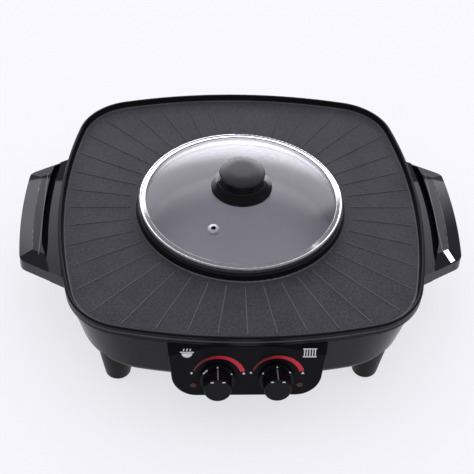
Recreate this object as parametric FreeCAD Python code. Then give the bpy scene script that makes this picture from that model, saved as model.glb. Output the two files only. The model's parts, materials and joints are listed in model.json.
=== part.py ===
import FreeCAD, Part
import math
import os

# Electric hot pot with a square grill plate round it.
#
# The grill plate and the pot well are one casting.  It sits on four posts inside a moulded
# bowl that stands on four feet.  A glass lid with a steel rim drops onto the collar of the
# well.  The control panel on the front carries two thermostat knobs and two lamps: one pair
# for the pot's heating tube, one for the grill's.
#
# Millimetres.  +Z is up, the feet stand on z = 0 and the panel faces -Y.  Each piece is
# drawn about the well's axis, and main() then moves them all so that the origin lies at
# the middle of the space that the whole object takes up.

V = FreeCAD.Vector
UP = V(0, 0, 1)

# Plan outline of the plate: a square with bulged sides and round corners.
HALF_WIDTH = 185.0
SIDE_RADIUS = 534.0
CORNER_RADIUS = 64.0

# Heights of the plate and of the pot well.
PLATE_TOP = 110.0
GRILL_Z = 104.0
PLATE_UNDER = 100.0
SKIRT_LOW = 99.0
COLLAR_TOP = 111.5
WELL_RADIUS = 98.5
WELL_WALL = 3.2
WELL_FLOOR_Z = 56.0
WELL_UNDER = 52.0

# Grill ribs.
RIB_COUNT = 40
RIB_START = 114.0
RIB_RADIUS = 0.55
RIB_END_INSET = 11.0

# Lid glass: a shallow dome of even thickness, held in a rolled steel rim.
DOME_TOP = 131.5
DOME_RADIUS = 350.0
GLASS_THICK = 4.0
GLASS_EDGE = 101.1
RIM_RADIUS = 103.7
RIM_LOW = 107.0
LID_HOLE = 3.5
VENT_X = -29.5
VENT_Y = -56.0
VENT_BARREL = 3.9

# Lid knob.
BELL_RADIUS = 30.9
BELL_LOW = 131.8
BELL_TOP = 148.6
CAP_RADIUS = 23.8
CAP_TOP = 155.8
LID_SCREW = 2.5
SEAL_TOP = 133.0

# Moulded bowl under the plate.
BOWL_TOP = 98.4
BOWL_FLOOR = 30.0
BOWL_WALL = 2.6
BOWL_EDGE_INSET = 0.8
BOWL_FOOT_INSET = 17.4
BOWL_BEND = 17.0
BOWL_CORNER_RADIUS = 88.0
OPENING_RADIUS = 116.0
COVER_RADIUS = 126.0
COVER_THICK = 1.2
COVER_SCREW_CIRCLE = 121.0

# Posts that carry the plate.
POST_X = 128.0
POST_Y = 84.0
POST_RADIUS = 7.2
POST_TOP = 84.0
SCREW_SEAT = 60.0

# Feet.
FOOT_X = 124.0
FOOT_Y = 130.0
FOOT_LOW = 1.0
FOOT_LOW_RADIUS = 12.2
FOOT_HIGH = 46.0
FOOT_HIGH_RADIUS = 19.2
PAD_RADIUS = 7.4
PAD_THICK = 2.5

# Screws: shank and head radii.
M4_SHANK = 2.0
M4_HEAD = 4.0
M4_HEAD_THICK = 2.8
M4_BORE = 4.6
M3_SHANK = 1.5
M3_HEAD = 3.0

# Heat shield and heating tubes.
SHIELD_RADIUS = 112.0
SHIELD_FLOOR = 37.4
SHIELD_INSET = 17.0
SHIELD_LIP = 93.0
SHEET = 0.8
TUBE_RADIUS = 3.3
TUBE_HOLE = 4.6
PIN_RADIUS = 1.4
GRILL_TUBE_RING = 135.0
GRILL_TUBE_GAP = 8.5
GRILL_TUBE_ELBOW = 8.0
GRILL_TUBE_LOW = 62.0
POT_TUBE_RING = 62.0
POT_TUBE_GAP = 20.8
POT_TUBE_ELBOW = 10.0
POT_TUBE_END = 126.0

# Control panel: a box with a face that leans back.
PANEL_TILT = 11.0
PANEL_TOP_HALF = 74.5
PANEL_LOW_HALF = 68.0
PANEL_LOW = 40.7
PANEL_LOW_Y = -195.25
PANEL_CORNER = 24.0
PANEL_WALL = 2.6
PANEL_EDGE = 1.0
PANEL_CUT_AHEAD = 1.0
PANEL_SWEEP_LOW = 84.0
PANEL_SWEEP_OUT = 8.0

# Knobs, their thermostats and the lamps, all square to the panel's face.
KNOB_X = 27.7
KNOB_Z = 62.3
KNOB_GAP = 0.6
SKIRT_RADIUS = 17.0
SKIRT_TOP = 3.8
GRIP_RADIUS = 13.2
GRIP_TOP = 19.6
FLUTE_COUNT = 24
SHAFT_RADIUS = 3.0
SHAFT_FIT = 0.05
NECK_RADIUS = 4.5
BODY_RADIUS = 13.0
BODY_LENGTH = 14.0
LAMP_X = 50.0
LAMP_Z = 54.0
LENS_RADIUS = 3.0

# Side handles: a strip along the plate, a dark groove that narrows to a point in front, and
# a hollow grip whose flat top slopes away at its outer edge and at both ends.
HANDLE_LOW = 80.0
STRIP_TOP = 94.0
STRIP_OUT = 195.5
GROOVE_OUT = 201.5
GROOVE_FLOOR = 85.0
GROOVE_WALL = 1.8
TAPER_START = (200.0, -45.0)
TAPER_END = (184.6, -100.0)
GRIP_TOP_Z = 97.5
RIDGE_X = 210.5
RIDGE_HALF = 55.0
HIP_INNER = (190.3, 79.5)
HIP_OUTER = (219.0, 63.5)
GRIP_OUT = 224.0
GRIP_EDGE_Z = 94.0
GRIP_CORNER = 12.0
HANDLE_ROOT_HALF = 97.5
HANDLE_TIP_HALF = 59.5
GRIP_EDGE = 0.8
HANDLE_WALL = 2.8
HANDLE_SCREW_Y = 45.0
HANDLE_SCREW_Z = 88.5

# Power inlet at the back.
INLET_Z = 58.0
INLET_FACE = 183.0
INLET_FLANGE_THICK = 2.5
INLET_SCREW_X = 20.0


def rounded_wire(corners, place):
    """A closed wire of lines and tangent arcs.

    A corner is (a, b) or (a, b, radius), and place turns a flat point into a point in space.
    """
    count = len(corners)
    spans = []
    for i, corner in enumerate(corners):
        here = V(corner[0], corner[1], 0)
        radius = corner[2] if len(corner) == 3 else 0.0
        if radius == 0:
            spans.append((here, here, here))
            continue
        before = corners[i - 1]
        after = corners[(i + 1) % count]
        back = (V(before[0], before[1], 0) - here).normalize()
        ahead = (V(after[0], after[1], 0) - here).normalize()
        half = back.getAngle(ahead) / 2
        reach = radius / math.tan(half)
        bulge = radius / math.sin(half) - radius
        middle = here + (back + ahead).normalize() * bulge
        spans.append((here + back * reach, middle, here + ahead * reach))
    edges = []
    for i, (start, middle, end) in enumerate(spans):
        if (end - start).Length > 1e-6:
            edges.append(Part.Arc(place(start), place(middle), place(end)).toShape())
        following = spans[(i + 1) % count][0]
        if (following - end).Length > 1e-6:
            edges.append(Part.LineSegment(place(end), place(following)).toShape())
    return Part.Wire(edges)


def lathe(corners, x=0.0, y=0.0):
    """Turn a profile of (radius, height) corners about an upright axis through x, y."""
    wire = rounded_wire(corners, lambda p: V(x + p.x, y, p.y))
    return Part.Face(wire).revolve(V(x, y, 0), UP, 360)


def outline_arcs(corner_radius=CORNER_RADIUS):
    """The arcs of the plan outline: centre x, centre y, radius, start angle, sweep."""
    side_centre = HALF_WIDTH - SIDE_RADIUS
    reach = SIDE_RADIUS - corner_radius
    corner_centre = (side_centre + math.sqrt(2 * reach ** 2 - side_centre ** 2)) / 2
    half = math.degrees(math.atan2(corner_centre, corner_centre - side_centre))
    arcs = []
    for quarter in range(4):
        turn = 90 * quarter
        cos, sin = round(math.cos(math.radians(turn))), round(math.sin(math.radians(turn)))
        side = (side_centre * cos, side_centre * sin)
        corner = (corner_centre * (cos - sin), corner_centre * (sin + cos))
        arcs.append((*side, SIDE_RADIUS, turn - half, 2 * half))
        arcs.append((*corner, corner_radius, turn + half, 90 - 2 * half))
    return arcs


def slab(inset, low, high, corner_radius=CORNER_RADIUS):
    """A flat plate inside the outline, between two heights."""
    edges = []
    for x, y, radius, start, sweep in outline_arcs(corner_radius):
        edges.append(Part.makeCircle(radius - inset, V(x, y, low), UP, start, start + sweep))
    return Part.Face(Part.Wire(edges)).extrude(UP * (high - low))


def band(corners, corner_radius=CORNER_RADIUS):
    """Carry a profile of (inset, height) corners once round the outline."""
    pieces = []
    for x, y, radius, start, sweep in outline_arcs(corner_radius):
        wire = rounded_wire(corners, lambda p: V(x + radius - p.x, y, p.y))
        face = Part.Face(wire)
        face.rotate(V(x, y, 0), UP, start)
        pieces.append(face.revolve(V(x, y, 0), UP, sweep))
    return pieces[0].multiFuse(pieces[1:]).removeSplitter()


def outline_reach(angle):
    """Distance from the centre to the outline in the direction of an angle in degrees."""
    ray = V(math.cos(math.radians(angle)), math.sin(math.radians(angle)), 0)
    reach = 0.0
    for x, y, radius, start, sweep in outline_arcs():
        centre = V(x, y, 0)
        along = centre.dot(ray)
        inside = along ** 2 - centre.dot(centre) + radius ** 2
        if inside < 0:
            continue
        distance = along + math.sqrt(inside)
        point = ray * distance - centre
        turn = math.degrees(math.atan2(point.y, point.x)) - start
        if (turn + 0.001) % 360 <= sweep + 0.002:
            reach = distance
    return reach


def block(x0, x1, y0, y1, z0, z1):
    return Part.makeBox(x1 - x0, y1 - y0, z1 - z0, V(x0, y0, z0))


def rod(radius, low, high, x=0.0, y=0.0):
    return Part.makeCylinder(radius, high - low, V(x, y, low))


def corners_of(x, y):
    """The four places that mirror x, y about both upright planes."""
    return [(sx * x, sy * y) for sx in (-1, 1) for sy in (-1, 1)]


def around(radius, count, first=0.0):
    """Evenly spaced places on a circle, as (x, y, angle in degrees)."""
    places = []
    for i in range(count):
        angle = first + 360.0 * i / count
        turn = math.radians(angle)
        places.append((radius * math.cos(turn), radius * math.sin(turn), angle))
    return places


def join(shapes):
    return shapes[0].multiFuse(shapes[1:]).removeSplitter()


def mirrored(shape):
    return shape.mirror(V(0, 0, 0), V(1, 0, 0))


def screw(radius, head, head_thick, length):
    """A screw along +Z whose head's bearing face is at z = 0, with a hex socket in the head."""
    shank = rod(radius, 0, length)
    cap = rod(head, -head_thick, 0)
    points = [V(x, y, -head_thick) for x, y, _ in around(head * 0.5, 6)]
    socket = Part.Face(Part.makePolygon(points + points[:1])).extrude(UP * head_thick * 0.55)
    return join([shank, cap]).cut(socket)


# ---------------------------------------------------------------- grill plate and well

def plate_rim():
    """The raised lip round the plate, with its skirt below."""
    return band([(0.6, SKIRT_LOW), (0.0, PLATE_TOP, 1.3), (2.9, PLATE_TOP, 1.2),
                 (6.0, GRILL_Z, 3.0), (16.0, GRILL_Z), (16.0, PLATE_UNDER),
                 (3.6, PLATE_UNDER), (3.6, SKIRT_LOW)])


def pot_well():
    """The round well, with the collar that the lid sits on."""
    outer = WELL_RADIUS + WELL_WALL
    return lathe([(0, WELL_UNDER), (outer, WELL_UNDER, 11.0), (outer, PLATE_UNDER, 2.0),
                  (110.0, PLATE_UNDER), (110.0, GRILL_Z), (107.2, GRILL_Z, 2.0),
                  (105.4, COLLAR_TOP, 1.6), (WELL_RADIUS, COLLAR_TOP, 0.8),
                  (WELL_RADIUS, WELL_FLOOR_Z, 8.0), (0, WELL_FLOOR_Z)])


def grill_ribs():
    """Low half-round ribs that run out from the well like spokes and stop short of the lip."""
    ribs = []
    for i in range(RIB_COUNT):
        angle = 360.0 * i / RIB_COUNT
        end = outline_reach(angle) - RIB_END_INSET
        rib = rod_x(RIB_RADIUS, RIB_START, end, 0, GRILL_Z)
        rib.rotate(V(0, 0, 0), UP, angle)
        ribs.append(rib)
    return ribs


def clamp_places():
    return around(148.0, 4, 45.0)


def cutout_screw_places():
    return [(-22.0, 0.0), (22.0, 0.0)]


def grill_plate():
    floor = slab(15.0, PLATE_UNDER, GRILL_Z).cut(rod(109.0, PLATE_UNDER - 1, GRILL_Z + 1))
    parts = [plate_rim(), floor, pot_well()] + grill_ribs()
    bores = []
    for x, y in corners_of(POST_X, POST_Y):
        parts.append(rod(6.5, POST_TOP + SHEET, PLATE_UNDER + 1, x, y))
        bores.append(rod(M4_SHANK, POST_TOP, PLATE_UNDER - 2.5, x, y))
    for x, y, _ in clamp_places():
        parts.append(rod(4.2, 93.4, PLATE_UNDER + 1, x, y))
        bores.append(rod(M3_SHANK, 93.0, PLATE_UNDER - 1, x, y))
    for x, y in cutout_screw_places():
        parts.append(rod(4.0, 43.0, WELL_UNDER + 1, x, y))
        bores.append(rod(M3_SHANK, 42.0, WELL_UNDER, x, y))
    return join(parts).cut(Part.makeCompound(bores))


# ---------------------------------------------------------------- lid

def dome(radius_offset):
    """The ball that the lid's glass is cut from."""
    centre = V(0, 0, DOME_TOP - DOME_RADIUS)
    return Part.makeSphere(DOME_RADIUS + radius_offset, centre)


def tilt_to_vent(shape):
    """Move a shape made at the dome's top to the vent's place, square to the glass."""
    away = math.hypot(VENT_X, VENT_Y)
    lean = math.degrees(math.asin(away / DOME_RADIUS))
    axis = V(-VENT_Y, VENT_X, 0)
    shape.rotate(V(0, 0, DOME_TOP - DOME_RADIUS), axis, lean)
    return shape


def lid_glass():
    disc = rod(GLASS_EDGE, DOME_TOP - 25, DOME_TOP + 5)
    glass = disc.common(dome(0).cut(dome(-GLASS_THICK)))
    holes = [rod(LID_HOLE, DOME_TOP - 10, DOME_TOP + 5),
             tilt_to_vent(rod(VENT_BARREL, DOME_TOP - 10, DOME_TOP + 5))]
    return glass.cut(Part.makeCompound(holes))


def lid_rim():
    """Rolled steel ring: a bead outside, a band over the glass, a skirt down into the well."""
    return lathe([(97.0, RIM_LOW), (97.6, RIM_LOW), (97.6, COLLAR_TOP),
                  (RIM_RADIUS, COLLAR_TOP, 0.5), (RIM_RADIUS, 117.6, 1.4), (101.9, 117.6, 0.5),
                  (101.2, 117.0), (97.4, 118.3, 0.2), (97.4, 117.7),
                  (GLASS_EDGE, 116.64), (GLASS_EDGE, 112.3), (97.0, 112.3)])


def lid_vent_eyelet():
    return tilt_to_vent(lathe([(2.0, 126.7), (5.2, 126.7, 0.3), (5.2, 127.42),
                               (VENT_BARREL, 127.42), (VENT_BARREL, DOME_TOP),
                               (5.5, DOME_TOP), (5.5, 132.5, 0.4), (2.0, 132.9, 0.3)]))


def lid_knob_base():
    """A bell that flares to a wide foot, so that fingers stay clear of the hot glass."""
    return lathe([(BELL_RADIUS, BELL_LOW, 0.5), (BELL_RADIUS, 133.9, 0.9), (23.2, 137.0, 7.0),
                  (20.4, BELL_TOP, 0.6), (2.7, BELL_TOP), (2.7, SEAL_TOP), (8.0, SEAL_TOP),
                  (8.0, 146.0, 1.0), (18.0, 146.0, 1.0), (20.6, 135.4, 4.0),
                  (28.6, 132.4, 0.5), (28.6, BELL_LOW)])


def lid_knob_cap():
    """A shallow dome that overhangs the bell."""
    return lathe([(LID_SCREW, BELL_TOP), (CAP_RADIUS - 1.4, BELL_TOP, 0.8),
                  (CAP_RADIUS, 152.4, 2.4), (15.0, CAP_TOP - 0.3, 30.0), (0, CAP_TOP),
                  (0, 153.0), (LID_SCREW, 153.0)])


def lid_knob_seal():
    """Rubber washer between the bell and the glass."""
    ring = rod(11.0, DOME_TOP - 2, SEAL_TOP).cut(rod(2.7, DOME_TOP - 3, SEAL_TOP + 1))
    return ring.cut(dome(0))


def lid_knob_washer():
    """Rubber washer under the glass, round the screw."""
    ring = rod(9.0, 126.0, 127.6).cut(rod(LID_SCREW, 125, 129))
    return ring.common(dome(-GLASS_THICK))


def lid_knob_screw():
    bolt = screw(LID_SCREW, 4.6, 2.8, 26.4)
    bolt.translate(V(0, 0, 126.0))
    return bolt


# ---------------------------------------------------------------- bowl and its cover

def bowl_profile(extra):
    """Corners of the bowl's side and rounded bottom, moved in by extra."""
    return [(BOWL_EDGE_INSET + extra, BOWL_TOP),
            (BOWL_FOOT_INSET + extra, BOWL_FLOOR + extra, BOWL_BEND - extra)]


def bowl_volume(extra):
    """The bowl as a filled solid: its outside for extra 0, its cavity for the wall."""
    core = 56.0
    low = BOWL_FLOOR + extra
    shell = band(bowl_profile(extra) + [(core, low), (core, BOWL_TOP)], BOWL_CORNER_RADIUS)
    middle = slab(core - 0.5, low, BOWL_TOP, BOWL_CORNER_RADIUS)
    return shell.fuse(middle).removeSplitter()


def panel_plane_y(z):
    return PANEL_LOW_Y + (z - PANEL_LOW) * math.tan(math.radians(PANEL_TILT))


def panel_prism(inset, setback):
    """The panel's outline carried back from its leaning face into the bowl."""
    top = BOWL_TOP - inset
    low = PANEL_LOW + inset
    corners = [(-PANEL_TOP_HALF + inset, top, 1.0), (-PANEL_LOW_HALF + inset, low, PANEL_CORNER - inset),
               (PANEL_LOW_HALF - inset, low, PANEL_CORNER - inset), (PANEL_TOP_HALF - inset, top, 1.0)]
    face = Part.Face(rounded_wire(corners, lambda p: V(p.x, -230.0, p.y)))
    prism = face.extrude(V(0, 85.0, 0))
    front = [V(-100, panel_plane_y(z) + setback, z) for z in (0.0, 150.0)]
    back = [V(-100, -140.0, z) for z in (150.0, 0.0)]
    keep = Part.Face(Part.makePolygon(front + back + front[:1])).extrude(V(200, 0, 0))
    return prism.common(keep)


def panel_sweep(inset):
    """What sweeps the panel's top corners back, so that they don't stand out of the plate."""
    out = PANEL_SWEEP_OUT - inset
    edge = BOWL_EDGE_INSET + inset
    return band([(-PANEL_SWEEP_OUT - 4, PANEL_SWEEP_LOW), (-out, PANEL_SWEEP_LOW), (edge, BOWL_TOP),
                 (edge, BOWL_TOP + 1), (-PANEL_SWEEP_OUT - 4, BOWL_TOP + 1)])


def panel_skin():
    """The outside of the panel, with rounded front edges and swept corners."""
    prism = panel_prism(0, 0)
    rim = []
    for edge in prism.Edges:
        points = [vertex.Point for vertex in edge.Vertexes]
        if all(abs(point.y - panel_plane_y(point.z)) < 0.01 for point in points):
            rim.append(edge)
    return prism.makeFillet(PANEL_EDGE, rim).cut(panel_sweep(0))


def inlet_places():
    return [(-INLET_SCREW_X, INLET_Z), (INLET_SCREW_X, INLET_Z)]


def rod_y(radius, y0, y1, x, z):
    return Part.makeCylinder(radius, y1 - y0, V(x, y0, z), V(0, 1, 0))


def rod_x(radius, x0, x1, y, z):
    return Part.makeCylinder(radius, x1 - x0, V(x0, y, z), V(1, 0, 0))


def housing():
    """The bowl: an open shell with posts, screw bosses and a round opening underneath."""
    outside = bowl_volume(0)
    cavity = bowl_volume(BOWL_WALL)
    inside = BOWL_FLOOR + BOWL_WALL
    shell = outside.cut(cavity)
    solids = []
    # The panel's opening reaches ahead of its leaning face, past the bowl's bulged front.
    holes = [rod(OPENING_RADIUS, BOWL_FLOOR - 1, inside + 1), panel_prism(0, -PANEL_CUT_AHEAD)]
    for x, y in corners_of(POST_X, POST_Y):
        solids.append(rod(POST_RADIUS, inside - 1, POST_TOP, x, y))
        holes.append(rod(M4_BORE, BOWL_FLOOR - 1, SCREW_SEAT, x, y))
        holes.append(rod(M4_SHANK + 0.3, SCREW_SEAT - 1, POST_TOP + 1, x, y))
    for x, y in corners_of(FOOT_X, FOOT_Y):
        solids.append(rod(5.5, inside - 1, inside + 10, x, y).common(outside))
        holes.append(rod(M4_SHANK, BOWL_FLOOR - 1, inside + 8, x, y))
    for x, y, _ in around(COVER_SCREW_CIRCLE, 6, 30.0):
        solids.append(rod(4.5, inside - 1, inside + 8, x, y))
        holes.append(rod(M3_SHANK, BOWL_FLOOR - 1, inside + 6, x, y))
    for side in (-1, 1):
        for y in (-HANDLE_SCREW_Y, HANDLE_SCREW_Y):
            x0, x1 = sorted((side * 174.0, side * 182.0))
            solids.append(rod_x(6.0, x0, x1, y, HANDLE_SCREW_Z).common(outside))
            x0, x1 = sorted((side * 170.0, side * 190.0))
            holes.append(rod_x(M4_SHANK + 0.2, x0, x1, y, HANDLE_SCREW_Z))
    pad = block(-27, 27, 150, INLET_FACE, INLET_Z - 15, INLET_Z + 15).cut(cavity)
    solids.append(pad)
    holes.append(block(-13.7, 13.7, 140, INLET_FACE + 5, INLET_Z - 10, INLET_Z + 10))
    for x, z in inlet_places():
        holes.append(rod_y(M3_SHANK, 165, INLET_FACE + 1, x, z))
    return join([shell] + solids).cut(Part.makeCompound(holes))


def bottom_cover():
    """Pressed sheet disc with cooling slots and a turned-in centre ring."""
    low = BOWL_FLOOR - COVER_THICK
    disc = rod(COVER_RADIUS, low, BOWL_FLOOR)
    slots = []
    for ring, count in ((58.0, 12), (86.0, 18)):
        for x, y, angle in around(ring, count):
            slot = block(-10, 10, -1.75, 1.75, low - 1, BOWL_FLOOR + 1)
            slot.rotate(V(0, 0, 0), UP, angle)
            slot.translate(V(x, y, 0))
            slots.append(slot)
    for x, y, _ in around(COVER_SCREW_CIRCLE, 6, 30.0):
        slots.append(rod(M3_SHANK + 0.2, low - 1, BOWL_FLOOR + 1, x, y))
    return disc.cut(Part.makeCompound(slots))


def cover_screws():
    screws = []
    for x, y, _ in around(COVER_SCREW_CIRCLE, 6, 30.0):
        bolt = screw(M3_SHANK, M3_HEAD, 1.8, 8.0)
        bolt.translate(V(x, y, BOWL_FLOOR - COVER_THICK))
        screws.append(bolt)
    return Part.makeCompound(screws)


def plate_screws():
    screws = []
    for x, y in corners_of(POST_X, POST_Y):
        bolt = screw(M4_SHANK, M4_HEAD, M4_HEAD_THICK, 37.0)
        bolt.translate(V(x, y, SCREW_SEAT))
        screws.append(bolt)
    return Part.makeCompound(screws)


# ---------------------------------------------------------------- feet

def foot(x, y, outside):
    """A tapered foot, seated against the rounded bottom of the bowl."""
    body = lathe([(0, FOOT_LOW), (FOOT_LOW_RADIUS, FOOT_LOW, 3.4),
                  (FOOT_HIGH_RADIUS, FOOT_HIGH), (0, FOOT_HIGH)], x, y)
    holes = [rod(PAD_RADIUS, 0, PAD_THICK, x, y), rod(M4_BORE, 0, 12.0, x, y),
             rod(M4_SHANK + 0.3, 10.0, FOOT_HIGH, x, y)]
    return body.cut(outside).cut(Part.makeCompound(holes))


def foot_pad(x, y):
    return lathe([(0, 0), (PAD_RADIUS, 0, 0.8), (PAD_RADIUS, PAD_THICK), (0, PAD_THICK)], x, y)


def foot_screws():
    screws = []
    for x, y in corners_of(FOOT_X, FOOT_Y):
        bolt = screw(M4_SHANK, M4_HEAD, M4_HEAD_THICK, 27.0)
        bolt.translate(V(x, y, 12.0))
        screws.append(bolt)
    return Part.makeCompound(screws)


# ---------------------------------------------------------------- heat shield and heaters

def heat_shield():
    """A stepped sheet pan under the plate that keeps the heat off the plastic bowl."""
    wall = lathe([(0, SHIELD_FLOOR), (SHIELD_RADIUS, SHIELD_FLOOR, 3.0),
                  (SHIELD_RADIUS, POST_TOP, 1.0), (SHIELD_RADIUS + 4, POST_TOP),
                  (SHIELD_RADIUS + 4, POST_TOP + SHEET), (SHIELD_RADIUS - SHEET, POST_TOP + SHEET, 1.8),
                  (SHIELD_RADIUS - SHEET, SHIELD_FLOOR + SHEET, 2.2), (0, SHIELD_FLOOR + SHEET)])
    ledge = slab(SHIELD_INSET + 2, POST_TOP, POST_TOP + SHEET)
    ledge = ledge.cut(rod(SHIELD_RADIUS + 3, POST_TOP - 1, POST_TOP + 2))
    lip = band([(SHIELD_INSET, POST_TOP, 1.0), (SHIELD_INSET + 3, POST_TOP),
                (SHIELD_INSET + 3, POST_TOP + SHEET), (SHIELD_INSET + SHEET, POST_TOP + SHEET, 0.2),
                (SHIELD_INSET + SHEET, SHIELD_LIP), (SHIELD_INSET, SHIELD_LIP)])
    holes = [rod(M4_SHANK + 0.3, POST_TOP - 1, POST_TOP + 2, x, y)
             for x, y in corners_of(POST_X, POST_Y)]
    for x, y in grill_leg_places():
        holes.append(rod(TUBE_HOLE, POST_TOP - 1, POST_TOP + 2, x, y))
    leg_x = pot_leg_x()
    leg_z = WELL_UNDER - TUBE_RADIUS
    for side in (-1, 1):
        holes.append(rod_y(TUBE_HOLE, -120, -100, side * leg_x, leg_z))
    return join([wall, ledge, lip]).cut(Part.makeCompound(holes))


def disc_at(point, direction, radius):
    return Part.Face(Part.Wire(Part.makeCircle(radius, point, direction)))


def tube_ring(ring, z, gap, radius):
    """An open ring of tube, with its gap at the front, as the ring and its end on +X."""
    start = math.radians(-90 + gap)
    point = V(ring * math.cos(start), ring * math.sin(start), z)
    tangent = V(math.sin(start), -math.cos(start), 0)
    solid = disc_at(point, tangent, radius).revolve(V(0, 0, z), UP, 360 - 2 * gap)
    return solid, point, tangent


def grill_leg_places():
    """Where the grill tube's two legs go down, left and right."""
    turn = math.radians(GRILL_TUBE_GAP)
    x = GRILL_TUBE_RING * math.sin(turn) - GRILL_TUBE_ELBOW * math.cos(turn)
    y = -GRILL_TUBE_RING * math.cos(turn) - GRILL_TUBE_ELBOW * math.sin(turn)
    return [(-x, y), (x, y)]


def grill_heater():
    """A ring of heating tube against the plate, whose ends turn down to their pins."""
    z = PLATE_UNDER - TUBE_RADIUS
    ring, point, tangent = tube_ring(GRILL_TUBE_RING, z, GRILL_TUBE_GAP, TUBE_RADIUS)
    centre = point - UP * GRILL_TUBE_ELBOW
    elbow = disc_at(point, tangent, TUBE_RADIUS).revolve(centre, UP.cross(tangent), 90)
    x, y = grill_leg_places()[1]
    leg = rod(TUBE_RADIUS, GRILL_TUBE_LOW, z - GRILL_TUBE_ELBOW, x, y)
    pin = rod(PIN_RADIUS, GRILL_TUBE_LOW - 8, GRILL_TUBE_LOW + 1, x, y)
    end = join([elbow, leg, pin])
    return join([ring, end, mirrored(end)])


def pot_leg_x():
    gap = math.radians(POT_TUBE_GAP)
    return (POT_TUBE_RING + POT_TUBE_ELBOW) * math.sin(gap) - POT_TUBE_ELBOW


def pot_heater():
    """A smaller ring under the well, whose ends turn out to the front."""
    z = WELL_UNDER - TUBE_RADIUS
    ring, point, tangent = tube_ring(POT_TUBE_RING, z, POT_TUBE_GAP, TUBE_RADIUS)
    outward = V(point.x, point.y, 0).normalize()
    centre = point + outward * POT_TUBE_ELBOW
    turn = 90 - POT_TUBE_GAP
    elbow = disc_at(point, tangent, TUBE_RADIUS).revolve(centre, UP, turn)
    x = centre.x - POT_TUBE_ELBOW
    leg = rod_y(TUBE_RADIUS, -POT_TUBE_END, centre.y, x, z)
    pin = rod_y(PIN_RADIUS, -POT_TUBE_END - 8, -POT_TUBE_END + 1, x, z)
    end = join([elbow, leg, pin])
    return join([ring, end, mirrored(end)])


def heater_clamps():
    """Straps that hook over the grill tube and screw to the plate."""
    clamps = []
    low = PLATE_UNDER - 2 * TUBE_RADIUS
    for _, _, angle in clamp_places():
        strap = block(130.0, 152.0, -5, 5, low - 1, low)
        hook = block(130.0, 131.0, -5, 5, low - 1, low + 5)
        clamp = join([strap, hook]).cut(rod(M3_SHANK + 0.2, low - 2, low + 1, 148.0, 0))
        clamp.rotate(V(0, 0, 0), UP, angle)
        clamps.append(clamp)
    return Part.makeCompound(clamps)


def clamp_screws():
    screws = []
    for x, y, _ in clamp_places():
        bolt = screw(M3_SHANK, M3_HEAD, 1.8, 6.6)
        bolt.translate(V(x, y, PLATE_UNDER - 2 * TUBE_RADIUS - 1))
        screws.append(bolt)
    return Part.makeCompound(screws)


def overheat_cutout():
    """A snap-disc switch pressed against the underside of the well."""
    body = lathe([(0, 43.0), (7.6, 43.0, 0.5), (7.6, 47.5), (8.6, 47.5), (8.6, WELL_UNDER, 0.8),
                  (0, WELL_UNDER)])
    tabs = [block(x - 0.4, x + 0.4, 5.0, 14.0, 44.0, 48.0) for x in (-4.0, 4.0)]
    return join([body] + tabs)


def cutout_bracket():
    bar = block(-27, 27, -5, 5, 42.0, 43.0)
    holes = [rod(M3_SHANK + 0.2, 41, 44, x, y) for x, y in cutout_screw_places()]
    return bar.cut(Part.makeCompound(holes))


def cutout_screws():
    screws = []
    for x, y in cutout_screw_places():
        bolt = screw(M3_SHANK, M3_HEAD, 1.8, 8.0)
        bolt.translate(V(x, y, 42.0))
        screws.append(bolt)
    return Part.makeCompound(screws)


def terminal_block():
    """Ceramic block on the bowl's floor, with four wire wells and their clamp holes."""
    low = BOWL_FLOOR + BOWL_WALL
    body = block(-24, 24, -135.0, -126.0, low, low + 11)
    holes = []
    for x in (-16.5, -5.5, 5.5, 16.5):
        holes.append(rod_y(2.2, -137, -125, x, low + 4.5))
        holes.append(rod(1.8, low + 4.5, low + 12, x, -131))
    return body.cut(Part.makeCompound(holes))


# ---------------------------------------------------------------- control panel

def on_panel(shape, x, z):
    """Stand a shape made along +Z square on the panel's face, with its +Y side up."""
    placed = shape.copy()
    placed.rotate(V(0, 0, 0), V(1, 0, 0), 90 - PANEL_TILT)
    placed.translate(V(x, panel_plane_y(z), z))
    return placed


def control_panel():
    """A moulded box, open behind, that closes the front of the bowl and snaps in."""
    cavity = bowl_volume(BOWL_WALL)
    wall = PANEL_WALL / math.cos(math.radians(PANEL_TILT))
    hollow = panel_prism(PANEL_WALL, wall).cut(panel_sweep(PANEL_WALL))
    shell = panel_skin().cut(hollow).cut(cavity)
    tabs = []
    outside = bowl_volume(0)
    wall_beside = outside.cut(cavity).cut(panel_prism(0, 0))
    for side in (-1, 1):
        x0, x1 = sorted((side * 66.5, side * 76.0))
        tab = block(x0, x1, -180.0, -172.0, 76.0, 84.0).common(outside)
        tabs.append(tab.cut(wall_beside).cut(hollow))
    holes = []
    for side in (-1, 1):
        holes.append(on_panel(rod(NECK_RADIUS, -10, 5), side * KNOB_X, KNOB_Z))
        holes.append(on_panel(rod(LENS_RADIUS, -10, 5), side * LAMP_X, LAMP_Z))
    return join([shell] + tabs).cut(Part.makeCompound(holes))


def thermostat():
    """Capillary switch: a drum behind the panel, with a neck for the shaft through it."""
    drum = lathe([(0, -PANEL_WALL - BODY_LENGTH), (BODY_RADIUS, -PANEL_WALL - BODY_LENGTH, 1.5),
                  (BODY_RADIUS, -PANEL_WALL), (0, -PANEL_WALL)])
    neck = rod(NECK_RADIUS, -PANEL_WALL - 1, 3.6)
    tabs = [block(x - 3, x + 3, -0.4, 0.4, -PANEL_WALL - BODY_LENGTH - 8, -PANEL_WALL - BODY_LENGTH + 1)
            for x in (-6.5, 6.5)]
    bore = rod(SHAFT_RADIUS + SHAFT_FIT, -PANEL_WALL - 10, 5)
    return join([drum, neck] + tabs).cut(bore)


def thermostat_nut():
    points = [V(x, y, 0) for x, y, _ in around(7.4, 6)]
    nut = Part.Face(Part.makePolygon(points + points[:1])).extrude(UP * 2.4)
    return nut.cut(rod(NECK_RADIUS, -1, 4))


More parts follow.
